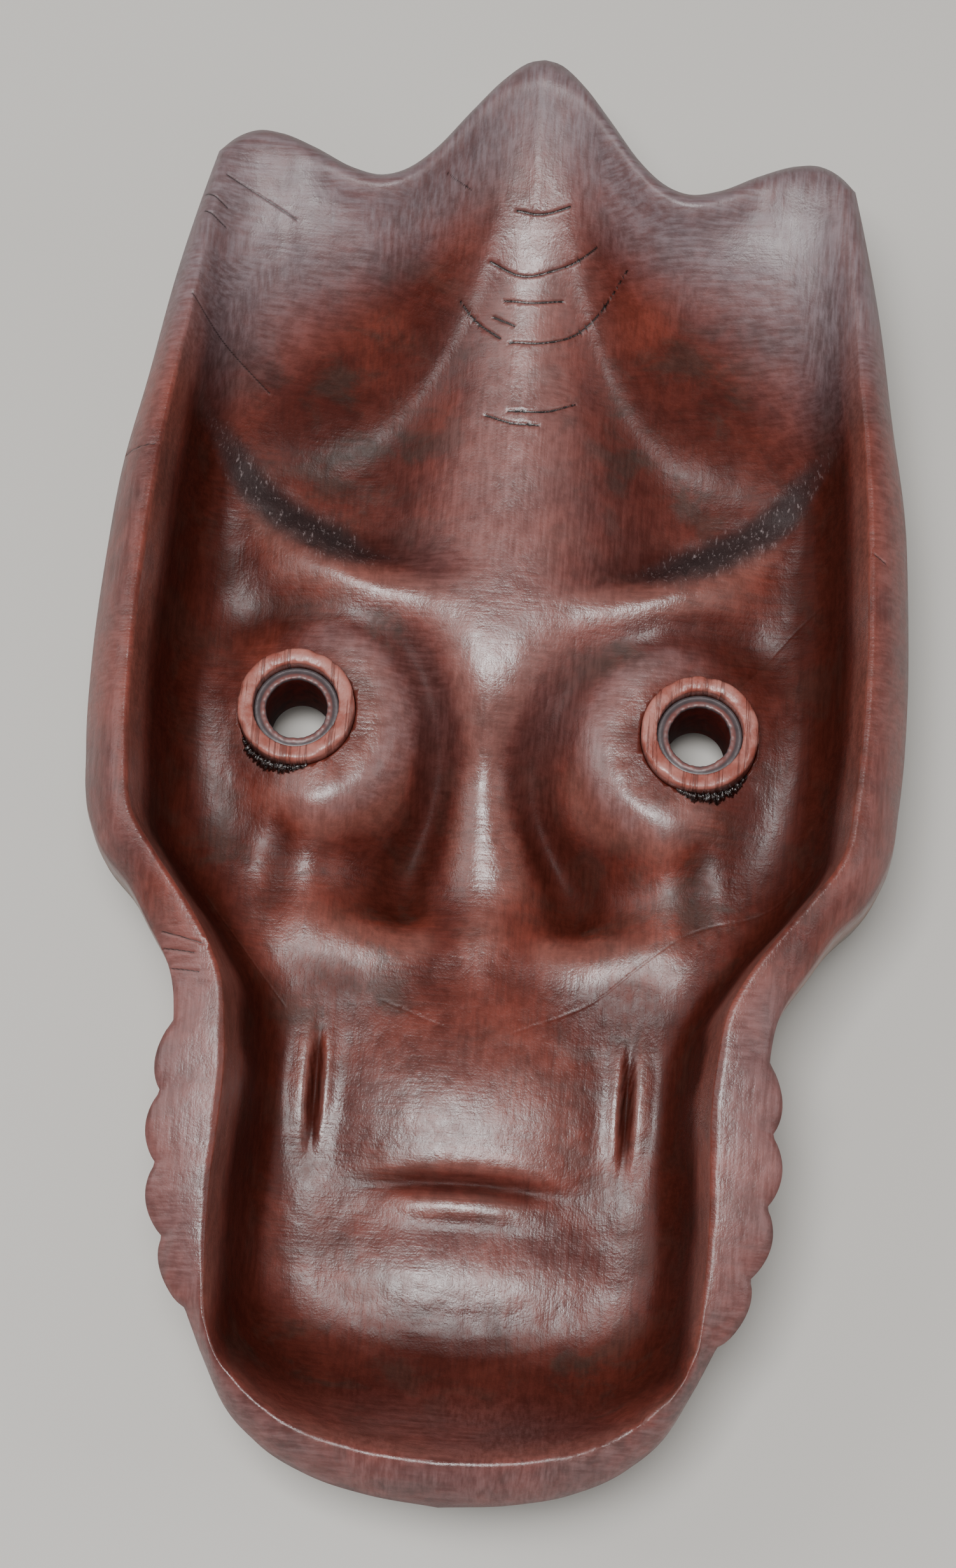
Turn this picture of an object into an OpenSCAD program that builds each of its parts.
// Carved wooden noh mask, lying on its face with the hollow side up.
// X runs across the face, +Y runs from the chin to the peaks, +Z points out of the hollow.
// The origin is on the surface that the mask lies on, under the middle of the mask's box.
// One cypress block is carved through for the eyes. Each eye is a stack that goes in from
// the hollow side: a gilt copper eye cup, a turned pupil liner, a turned retaining ring and
// a bead of hardened lacquer glue that holds the ring.

/* [Mask] */
// Width of the mask at the temples
mask_width = 155; // [148:1:164]
// Length of the mask from the chin to the centre peak
mask_length = 283; // [270:1:300]
// Height of the rim at the temples above the surface
rim_height = 64; // [62:1:66]
// How far the ear and cheek bulges stand out below the rim
side_bulge = 2.5; // [0:0.5:4]
// Height of each curl along the jaw edge
curl_height = 2.3; // [0:0.1:3]
// Least thickness of the wood between the hollow and the front
least_wall = 6; // [5:0.5:7]

/* [Eyes] */
// Distance between the eye centres
eye_spacing = 79; // [77:0.5:81]
// Distance of the eye centres from the middle of the mask along Y
eye_y = 9.2; // [8:0.2:10.4]
// Diameter of the pupil bore
pupil_d = 12; // [10:0.5:13]
// Outer diameter of the retaining ring
ring_d = 23; // [22:0.2:24]
// Bore of the retaining ring
ring_bore_d = 16.8; // [16:0.2:17.4]
// Height of the retaining ring's face above the surface
ring_top = 37.6; // [37:0.1:38.4]
// Depth of the liner's ledge below the ring's face
ledge_depth = 3.1; // [2:0.1:4]
// Diameter of the opening between the eyelids on the front
lid_opening_d = 20; // [18:0.5:20.6]
// Thickness of the copper eye cup
copper = 0.9; // [0.6:0.1:1.2]

/* [Hidden] */
$fn = 96;

// The stations below are drawn at this size, with Y from the bridge of the nose, and the
// mask is scaled from it and centred.
drawn_width = 155;
drawn_length = 283.4;
drawn_rim = 64;
drawn_middle = 11.3;
across = mask_width / drawn_width;
along = mask_length / drawn_length;
upward = rim_height / drawn_rim;

// Grid of the carved faces, and the rings that join them round the edge.
columns = 34;
rows = 54;
band_rings = 3;
wall_rings = 5;
loop_count = 2 * (columns + rows);

// Heights of the eye stack, from the front to the hollow.
seat_gap = 0.1;
cup_seat = 18;
liner_nose = 15.6;
ring_seat = 29.5;
spot_face = 31.2;
spot_face_r = 13.8;
eye_x = eye_spacing / 2;

// Half widths of the mask along Y: the crest of the rim, then its outer edge.
crest_side = [[-99, 45], [-80, 45.5], [-50, 45], [-38, 47], [-29, 51.9], [-18, 60.2], [-10, 65.6],
              [3, 67.9], [21, 68.9], [42, 68.7], [65, 67.3], [88, 64.8], [110, 62.5], [125.6, 60.4]];
edge_side = [[-106, 45], [-98, 48.6], [-86, 53.3], [-74, 55.3], [-60.5, 55.5], [-48, 54.5],
             [-38, 56.3], [-29, 61.5], [-22, 65.9], [-17, 70.5], [-9, 74.6], [4, 76.7], [23, 77.5],
             [44, 76.7], [60, 75.4], [79, 72.1], [100, 68.7], [116, 65.3], [127, 62.8]];
// Height of the three peaks across the mask.
crest_top = [[0, 148.5], [8, 143.4], [14, 135.4], [20, 127], [25, 122.4], [30, 120.5],
             [36, 121.6], [44, 125.6], [51, 128.3], [56, 128.2], [60.4, 125.6]];
edge_top = [[0, 153], [3, 152.2], [8, 147.6], [14, 139.5], [20, 131], [25, 126.2], [30, 124.2],
            [36, 125.3], [44, 129.3], [51, 132], [56, 132.2], [60, 130], [62.8, 127]];
// The round of the chin across the mask.
crest_chin = [[0, -122.6], [16, -121.2], [30.5, -116.5], [38, -110.8], [42.5, -105.4], [45, -99]];
edge_chin = [[0, -130.4], [13.5, -129], [24, -126.4], [33.7, -121.3], [40.5, -114.5], [45, -106]];
// How far the rim falls from its crest to its outer edge, along Y.
rim_fall = [[-130, 6], [-115, 5], [-95, 3], [-40, 3], [-20, 6], [0, 9], [60, 8], [95, 6],
            [120, 3.5], [150, 3]];

// Carving of the hollow.
hollow_edge = [[0, 138], [4, 135.5], [13.5, 126], [20, 118.5], [28, 113], [42.6, 108.5], [63, 100]];
brow_ledge = [[0, 50], [16, 51], [32.5, 55], [50, 64.5], [63, 78]];
hollow_middle = [[-130, 30], [-115, 26], [-108, 22.5], [-101, 22], [-94, 24], [-86, 26.6], [-78, 24.4],
                 [-70, 25], [-61, 28], [-50, 28.5], [-38, 26], [-27, 23.5], [-15, 22.5], [0, 25.5],
                 [15, 30], [28, 34.5], [38, 36], [60, 37], [90, 39.5], [110, 44], [137, 54], [150, 58]];
hollow_flank = [[-130, 26], [-115, 24], [-101, 21], [-86, 22.3], [-70, 21.8], [-52, 22.8], [-38, 24.5],
                [-25, 26.5], [-15, 27.5]];
nose_groove_x = [[-22, 18], [-12, 15], [-4, 11.5], [6, 10], [18, 10], [28, 11.5], [40, 14]];
nose_groove_depth = [[-27, 0], [-22, 2.5], [-16, 9], [-8, 11.5], [4, 9], [16, 5.5], [27, 2.5], [38, 0.8],
                     [48, 0]];
nose_groove_width = [[-22, 8.5], [-10, 8.5], [0, 7], [16, 6], [30, 6]];

// Carving of the front: heights on the middle line and at the sides, without the nose.
front_middle = [[-130, 38], [-124, 27], [-117, 17], [-108, 13.5], [-98, 13.5], [-90, 16.5],
                [-80, 13], [-72, 12.5], [-68.5, 16], [-65, 13], [-56, 13.5], [-44, 16], [-30, 16],
                [-17, 15.5], [10, 17], [35, 16], [50, 12], [62, 11], [78, 13], [95, 21],
                [112, 32], [130, 40], [150, 45]];
front_side = [[-130, 40], [-115, 29], [-100, 21], [-80, 16.5], [-50, 15.5], [-20, 15], [0, 15.5],
              [20, 18], [40, 17], [60, 15], [80, 20], [100, 31], [125, 42], [150, 47]];
nose_height = [[-32, 0], [-28, 8], [-23, 17.5], [-17, 19.5], [-11, 17.5], [0, 11], [15, 5.5], [32, 2], [44, 0]];
nose_half_width = [[-30, 12], [-17, 12.5], [0, 10], [20, 8], [44, 8]];

// ---- Curves and blends ----

function slope(s, i) = (s[i + 1][1] - s[i][1]) / (s[i + 1][0] - s[i][0]);

// Slope of the smooth curve at a station.
function tangent(s, i) =
    i == 0 ? slope(s, 0) :
    i == len(s) - 1 ? slope(s, i - 1) :
    let (before = s[i][0] - s[i - 1][0], after = s[i + 1][0] - s[i][0])
    (slope(s, i - 1) * after + slope(s, i) * before) / (before + after);

// Smooth curve through stations that rise in their first value.
function curve(s, at) =
    let (x = max(s[0][0], min(s[len(s) - 1][0], at)),
         i = max([for (k = [0 : len(s) - 2]) if (k == 0 || x >= s[k][0]) k]),
         h = s[i + 1][0] - s[i][0],
         t = (x - s[i][0]) / h)
    s[i][1] * (1 + 2 * t) * pow(1 - t, 2) + tangent(s, i) * h * t * pow(1 - t, 2)
    + s[i + 1][1] * t * t * (3 - 2 * t) + tangent(s, i + 1) * h * t * t * (t - 1);

function clamp(t) = max(0, min(1, t));
function blend(from, to, at) = let (t = clamp((at - from) / (to - from))) t * t * (3 - 2 * t);
function mix(a, b, t) = a + (b - a) * t;

// A rounded bump of height 1, with the half sizes sx and sy, turned by angle turn.
function bump(x, y, cx, cy, sx, sy, turn = 0, power = 2) =
    let (u = (x - cx) * cos(turn) + (y - cy) * sin(turn),
         v = (y - cy) * cos(turn) - (x - cx) * sin(turn))
    exp(-pow(abs(u / sx), power) - pow(abs(v / sy), power));

// ---- Outline ----

// Curls along the jaw edge.
curl_pitch = 12.9;
curl_start = -48;
curl_end = curl_start - 4 * curl_pitch;
function curls(y) =
    curl_height * pow(abs(sin(180 * (y - curl_start) / curl_pitch)), 0.7)
    * blend(curl_start + 0.5, curl_start - 1, y) * blend(curl_end + 0.5, curl_end + 2, y);

// Plan position for u across (-1 to 1) and v along (0 to 1), on a net that has the given
// side, top and chin as its border.
function net(u, v, side, top, chin, low, high, curled) =
    let (y = mix(low, high, v), x = curve(side, y) + (curled ? curls(y) : 0))
    [u * x,
     y + pow(v, 3) * (curve(top, abs(u) * curve(side, high)) - high)
       + pow(1 - v, 3) * (curve(chin, abs(u) * curve(side, low)) - low)];

function crest_plan(u, v) = net(u, v, crest_side, crest_top, crest_chin, -99, 125.6, false);
function edge_plan(u, v) = net(u, v, edge_side, edge_top, edge_chin, -106, 127, true);
shoulder_scale = [0.84, 0.91];
function shoulder_plan(u, v) =
    let (p = net(u, v, edge_side, edge_top, edge_chin, -106, 127, false))
    [p[0] * shoulder_scale[0], 6 + (p[1] - 6) * shoulder_scale[1]];

// Height of the crest of the rim.
function crest_z(y) =
    drawn_rim - 6 * pow(max(0, y - 70) / 80, 2) - 12 * pow(max(0, -y - 30) / 92, 1.3);

// ---- Hollow ----

function brow_and_cheek(ax, y) =
    let (past_ledge = y - curve(brow_ledge, ax),
         brow = 36 - 4 * blend(30, 62, ax),
         below = mix(28, brow, blend(-32, -6, past_ledge)))
    mix(curve(hollow_middle, y), below, blend(5, 24, ax));

function forehead(ax, y) =
    let (into = curve(hollow_edge, ax) - y,
         deepest = 28 - 4 * bump(ax, y, 33, 80, 20, 20) - 1.5 * bump(ax, y, 23, 62, 10, 9)
                   + 3 * blend(40, 62, ax),
         cavity = mix(54, deepest, blend(-6, 36, into)),
         keel = 6 + 10 * blend(128, 62, y))
    mix(curve(hollow_middle, y), cavity, blend(0.1, 2, ax / keel));

function peak_plate(ax, y) =
    let (past = y - curve(hollow_edge, ax))
    mix(54, crest_z(y), clamp(past / max(10, 26 * ax / 62)));

// Dome of wood round each eye, and the fold above it. It leans towards the nose.
dome_lean = 1;
function eye_dome(ax, y, z) =
    let (dx = ax - (eye_x / across - dome_lean), dy = y - (eye_y / along + drawn_middle),
         r = max(0.001, norm([dx, dy])),
         low = blend(0.2, -0.9, (0.85 * dy - 0.3 * dx) / r),
         dome = exp(-pow(r / (17 + 2 * low), 3.4 - 1.2 * low)),
         up = blend(-0.25, 0.55, (dx * cos(108) + dy * sin(108)) / r))
    mix(z, 34.3, dome) - 2.6 * exp(-pow((r - 21.5) / 3.4, 2)) * up;

function nose_hollow(ax, y) =
    let (middle = curve(nose_groove_x, y),
         width = curve(nose_groove_width, y),
         grooves = exp(-pow(abs(ax - middle) / width, 2.2)) + exp(-pow((ax + middle) / width, 2.2)))
    1.6 * bump(ax, y, 0, -22, 4, 11) + 1.1 * bump(ax, y, 15, -23, 9, 3) - curve(nose_groove_depth, y) * grooves;

function cheek_relief(ax, y) =
    1.6 * bump(ax, y, 31, -14, 9, 14) - 2 * bump(ax, y, 52, -2, 8, 14)
    - 1.5 * bump(ax, y, 42, -13, 2.8, 11, 0, 2.4);

function lower_face(ax, y, z) =
    let (flank = curve(hollow_flank, y),
         low = mix(flank, curve(hollow_middle, y), exp(-pow(ax / 27, 3.2))))
    mix(z, low, blend(-16, -40, y));

// The two gouged slots beside the lips, and the line of the mouth.
function slots(ax, y) =
    2.4 * bump(ax, y, 30.6, -52, 5.6, 12.5, 0, 2.4) - 5.6 * bump(ax, y, 30.3, -52, 1.9, 8.4, 0, 2.2);
function mouth_line(ax, y) =
    let (yl = y + 0.004 * ax * ax)
    exp(-pow(ax / 20, 4)) * (exp(-pow((yl + 65.3) / 2.6, 2)) - 3 * exp(-pow((yl + 69.3) / 1.6, 2))
                             + 1.2 * exp(-pow((yl + 73.5) / 2.2, 2)));

// Floor of the hollow, without the walls that rise to the rim.
function hollow_floor(x, y) =
    let (ax = abs(x),
         past_ledge = y - curve(brow_ledge, ax),
         past_edge = y - curve(hollow_edge, ax),
         face = mix(brow_and_cheek(ax, y), forehead(ax, y), blend(-5, 3.5, past_ledge)),
         plated = mix(face, peak_plate(ax, y), blend(-4, 4, past_edge)),
         carved = eye_dome(ax, y, plated) + nose_hollow(ax, y) + cheek_relief(ax, y))
    lower_face(ax, y, carved) + slots(ax, y) + mouth_line(ax, y);

function rise(z, top, away, width, power) = mix(z, top, exp(-pow(max(0, away) / width, power)));

function hollow_z(x, y) =
    let (ax = abs(x), top = crest_z(y),
         sides = rise(hollow_floor(x, y), top, curve(crest_side, y) - ax, 3.2, 1.4),
         chin = rise(sides, top, y - curve(crest_chin, ax), 6.5, 1.6))
    rise(chin, top, curve(crest_top, ax) - y, 2.5, 1.5);

// ---- Front ----

function nose_front(ax, y) =
    curve(nose_height, y) * exp(-pow(ax / curve(nose_half_width, y), 2.4)) + 8 * bump(ax, y, 15, -12, 6.5, 8);

function front_z(x, y) =
    let (ax = abs(x),
         base = mix(curve(front_middle, y), curve(front_side, y), blend(8, 48, ax)),
         brow = 18 * bump(ax, y, 32, 63, 17, 10, 22, 2.4),
         cheek = 3 * bump(ax, y, 42, -14, 15, 16),
         socket = 2.2 * bump(ax, y, 39.5, 22, 22, 15) - 3 * bump(ax, y, 39.5, 20.5, 14, 12, 0, 3),
         face = base - nose_front(ax, y) - brow - cheek + socket)
    max(0, min(face, hollow_floor(x, y) - least_wall));

// ---- Net of points ----

// Columns crowd towards the steep side walls, and rows towards the chin and the peaks.
function across_at(i) = let (t = 2 * i / columns - 1) sign(t) * (1 - pow(1 - abs(t), 1.45));
function along_at(j) = let (t = j / rows) t - 0.045 * sin(360 * t);

function sized(p, z) = [p[0] * across, (p[1] - drawn_middle) * along, z * upward];

function hollow_point(i, j) =
    let (p = crest_plan(across_at(i), along_at(j)),
         border = i == 0 || i == columns || j == 0 || j == rows)
    sized(p, border ? crest_z(p[1]) : hollow_z(p[0], p[1]));

function front_point(i, j) =
    let (p = shoulder_plan(across_at(i), along_at(j)))
    sized(p, front_z(p[0], p[1]));

// Column and row of place k on the border, counted anticlockwise from the chin's left end.
function border_cell(k) =
    k < columns ? [k, 0] :
    k < columns + rows ? [columns, k - columns] :
    k < 2 * columns + rows ? [2 * columns + rows - k, rows] :
    [0, loop_count - k];

function edge_z(y) = crest_z(y) - curve(rim_fall, y);

// Ring r of the rim band, which rounds over from the crest to the outer edge.
function band_point(r, k) =
    let (cell = border_cell(k), u = across_at(cell[0]), v = along_at(cell[1]), t = r / band_rings,
         p = mix(crest_plan(u, v), edge_plan(u, v), t))
    sized(p, crest_z(p[1]) - curve(rim_fall, p[1]) * t * t);

// Ring r of the outer wall, which turns under from the outer edge to the shoulder.
function wall_point(r, k) =
    let (cell = border_cell(k), u = across_at(cell[0]), v = along_at(cell[1]),
         turn = 90 * r / wall_rings,
         outer = edge_plan(u, v), inner = shoulder_plan(u, v),
         outward = cell[0] == 0 ? -1 : cell[0] == columns ? 1 : 0,
         swell = outward * side_bulge * bump(outer[1], 0, -4, 0, 32, 1) * sin(2 * turn),
         p = mix(outer, inner, 1 - cos(turn)) + [swell, 0])
    sized(p, mix(edge_z(outer[1]), front_z(inner[0], inner[1]), sin(turn)));

function grid_index(i, j) = j * (columns + 1) + i;
grid_count = (columns + 1) * (rows + 1);
ring_total = band_rings + wall_rings - 1;
front_start = grid_count + ring_total * loop_count;

// Number of the point at place k of ring r: 0 is the crest, and the last is the shoulder.
function ring_index(r, k) =
    let (place = k % loop_count, cell = border_cell(place))
    r == 0 ? grid_index(cell[0], cell[1]) :
    r <= ring_total ? grid_count + (r - 1) * loop_count + place :
    front_start + grid_index(cell[0], cell[1]);

function two_triangles(a, b, c, d) = [[a, d, c], [a, c, b]];

module carved_block() {
    points = [
        for (j = [0 : rows], i = [0 : columns]) hollow_point(i, j),
        for (r = [1 : band_rings], k = [0 : loop_count - 1]) band_point(r, k),
        for (r = [1 : wall_rings - 1], k = [0 : loop_count - 1]) wall_point(r, k),
        for (j = [0 : rows], i = [0 : columns]) front_point(i, j)
    ];
    faces = [
        for (j = [0 : rows - 1], i = [0 : columns - 1])
            each two_triangles(grid_index(i, j), grid_index(i + 1, j),
                               grid_index(i + 1, j + 1), grid_index(i, j + 1)),
        for (r = [0 : ring_total], k = [0 : loop_count - 1])
            each two_triangles(ring_index(r + 1, k), ring_index(r + 1, k + 1),
                               ring_index(r, k + 1), ring_index(r, k)),
        for (j = [0 : rows - 1], i = [0 : columns - 1])
            each two_triangles(front_start + grid_index(i, j), front_start + grid_index(i, j + 1),
                               front_start + grid_index(i + 1, j + 1), front_start + grid_index(i + 1, j))
    ];
    polyhedron(points = points, faces = faces, convexity = 10);
}

// ---- Eye stack ----

module at_eye(side) {
    translate([side * eye_x, eye_y, 0]) children();
}

module tube(outer_r, inner_r, low, high) {
    translate([0, 0, low])
        difference() {
            cylinder(r = outer_r, h = high - low);
            translate([0, 0, -1]) cylinder(r = inner_r, h = high - low + 2);
        }
}

// What is cut from the block for one eye: the seat, the flat round it and the lid opening.
module eye_seat() {
    translate([0, 0, cup_seat]) cylinder(d = ring_d + 2 * seat_gap, h = rim_height - cup_seat);
    translate([0, 0, spot_face]) cylinder(r = spot_face_r, h = rim_height - spot_face);
    translate([0, 0, -1]) cylinder(d = lid_opening_d, h = cup_seat + 2);
}

module mask_body() {
    color([0.42, 0.16, 0.12])
        difference() {
            carved_block();
            at_eye(-1) eye_seat();
            at_eye(1) eye_seat();
        }
}

// Domed copper cup with a flange on its seat and the pupil hole at its crown.
dome_r = lid_opening_d / 2 + 0.2;
flange_r = ring_d / 2 - seat_gap;
dome_centre = cup_seat + sqrt(pow(dome_r, 2) - pow(lid_opening_d / 2 - 0.2, 2));
function dome_arc(r, from, to, steps) =
    [for (i = [0 : steps]) let (a = mix(from, to, i / steps)) [r * sin(a), dome_centre - r * cos(a)]];

module eye_cup(side) {
    rim_angle = asin((lid_opening_d / 2 - 0.2) / dome_r);
    inner_r = dome_r - copper;
    inner_rim = acos((dome_centre - cup_seat - copper) / inner_r);
    crown = asin((pupil_d / 2 + 0.1) / dome_r);
    inner_crown = asin((pupil_d / 2 + 0.1) / inner_r);
    color([0.78, 0.6, 0.25])
        at_eye(side)
            rotate_extrude()
                polygon(concat([[flange_r, cup_seat + copper], [flange_r, cup_seat]],
                               dome_arc(dome_r, rim_angle, crown, 10),
                               dome_arc(inner_r, inner_crown, inner_rim, 10)));
}

// Stepped bush that lines the pupil bore: its ledge shows inside the ring.
module pupil_liner(side) {
    bore = pupil_d / 2;
    nose_r = bore + 1.4;
    body_r = ring_d / 2 - seat_gap;
    neck_r = ring_bore_d / 2 - seat_gap;
    ledge = ring_top - ledge_depth;
    foot = cup_seat + copper;
    color([0.35, 0.12, 0.1])
        at_eye(side)
            difference() {
                union() {
                    translate([0, 0, foot]) cylinder(r = body_r, h = ring_seat - foot);
                    translate([0, 0, liner_nose]) cylinder(r = nose_r, h = ring_seat - liner_nose);
                    translate([0, 0, ring_seat - 1]) cylinder(r = neck_r, h = ledge - ring_seat + 1);
                }
                translate([0, 0, liner_nose - 1]) cylinder(r = bore, h = ledge - liner_nose + 2);
            }
}

// Turned ring that stands on the liner's shoulder and shows above the wood.
module eye_ring(side) {
    outer = ring_d / 2;
    inner = ring_bore_d / 2;
    ease = 0.7;
    color([0.5, 0.22, 0.18])
        at_eye(side)
            rotate_extrude()
                polygon([[inner, ring_seat], [outer, ring_seat], [outer, ring_top - ease],
                         [outer - ease, ring_top], [inner + ease, ring_top], [inner, ring_top - ease]]);
}

// Fillet of hardened glue along the chin side of a ring, standing on the flat round the seat.
bead_middle = -90;
bead_sweep = 96;
bead_lean = 6;
module glue_bead(side) {
    start = bead_middle + side * bead_lean - bead_sweep / 2;
    color([0.1, 0.05, 0.04])
        at_eye(side)
            rotate([0, 0, start])
                rotate_extrude(angle = bead_sweep)
                    translate([ring_d / 2, spot_face])
                        polygon([[0, 0], [2, 0], [1.7, 0.9], [1, 1.8], [0, 2.4]]);
}

mask_body();
eye_cup(-1);  // eye_cup_left
eye_cup(1);  // eye_cup_right
pupil_liner(-1);  // pupil_liner_left
pupil_liner(1);  // pupil_liner_right
eye_ring(-1);  // eye_ring_left
eye_ring(1);  // eye_ring_right
glue_bead(-1);  // glue_bead_left
glue_bead(1);  // glue_bead_right
